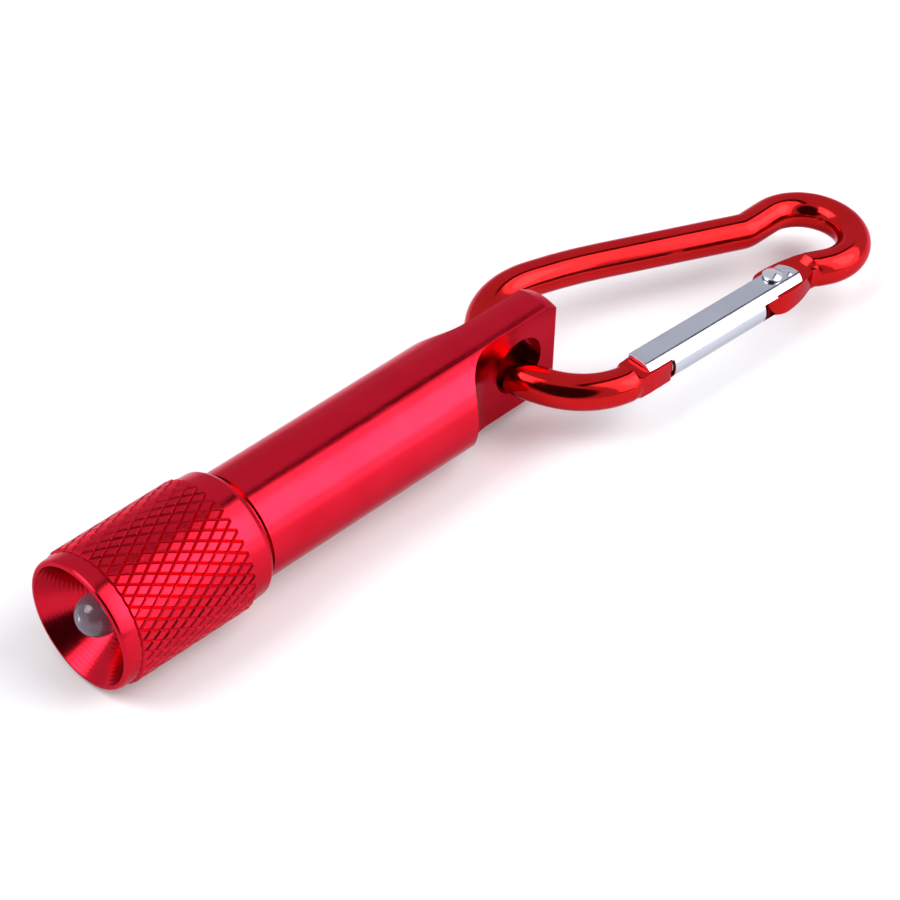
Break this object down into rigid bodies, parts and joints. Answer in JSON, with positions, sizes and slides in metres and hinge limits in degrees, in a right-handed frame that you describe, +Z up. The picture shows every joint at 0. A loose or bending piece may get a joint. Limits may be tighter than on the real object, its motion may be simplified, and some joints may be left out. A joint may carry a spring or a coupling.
{
  "type": "keychain flashlight",
  "caption": "Small turned aluminium twist flashlight with a knurled head, cone reflector and clear lamp, and a snap hook through its flat tail tab.",
  "frame": {"origin": "on the torch's axis, at the middle of the barrel's plain grip", "axes": "+X along the torch's axis from the head toward the tail and snap hook, +Z up as the torch lies on its side, with the tail tab's flats facing -Y and +Y"},
  "size_m": [0.1182, 0.0275, 0.0166],
  "materials": {
    "anodised_red": "anodised satin",
    "anodised_hook_red": "anodised gloss",
    "seal_rubber": "matt",
    "sleeve_film": "gloss",
    "spring_steel": "satin",
    "clear_epoxy": "clear",
    "tinned_lead": "satin",
    "phosphor": "matt",
    "white_nylon": "matt",
    "contact_brass": "polished",
    "nickel_sheet": "polished",
    "rivet_steel": "polished",
    "cell_steel": "satin",
    "cell_nylon": "matt",
    "cell_cap_steel": "polished"
  },
  "bodies": {
    "barrel_body": {"barrel": "anodised_red", "neck_seal_ring": "seal_rubber", "battery_sleeve": "sleeve_film", "cell_can_1": "cell_steel", "cell_can_2": "cell_steel", "cell_can_3": "cell_steel", "cell_gasket_1": "cell_nylon", "cell_gasket_2": "cell_nylon", "cell_gasket_3": "cell_nylon", "cell_cap_1": "cell_cap_steel", "cell_cap_2": "cell_cap_steel", "cell_cap_3": "cell_cap_steel", "tail_spring": "spring_steel"},
    "lamp_module": {"led_lens": "clear_epoxy", "led_cathode_lead": "tinned_lead", "led_anode_lead": "tinned_lead", "led_chip": "phosphor", "led_carrier": "white_nylon", "front_contact": "contact_brass"},
    "head": {"head_shell": "anodised_red"},
    "hook": {"hook_frame": "anodised_hook_red"},
    "gate": {"gate_channel": "nickel_sheet", "gate_rivet": "rivet_steel", "gate_spring": "spring_steel"}
  },
  "joints": [
    {"name": "head_advance", "type": "slide", "parent": "barrel_body", "child": "lamp_module", "axis": [-1, 0, 0], "range_m": [-0.00058, 0.00481]},
    {"name": "head_twist", "type": "hinge", "parent": "lamp_module", "child": "head", "pos_m": [-0.02761, 0, 0], "axis": [-1, 0, 0], "range_deg": [-260, 2160]},
    {"name": "hook_swing", "type": "hinge", "parent": "barrel_body", "child": "hook", "pos_m": [0.02729, 0, 0], "axis": [0, 1, 0], "range_deg": [-125, 125]},
    {"name": "gate_open", "type": "hinge", "parent": "hook", "child": "gate", "pos_m": [0.06147, -0.0115, -0.00218], "axis": [-0.034, 0, -0.9994], "range_deg": [0, 35], "stiffness_Nm_per_rad": 0.03, "springref_deg": -20.05}
  ],
  "couplings": [
    {"joint": "head_advance", "follows": "head_twist", "m_per_rad": 0.00012732}
  ]
}
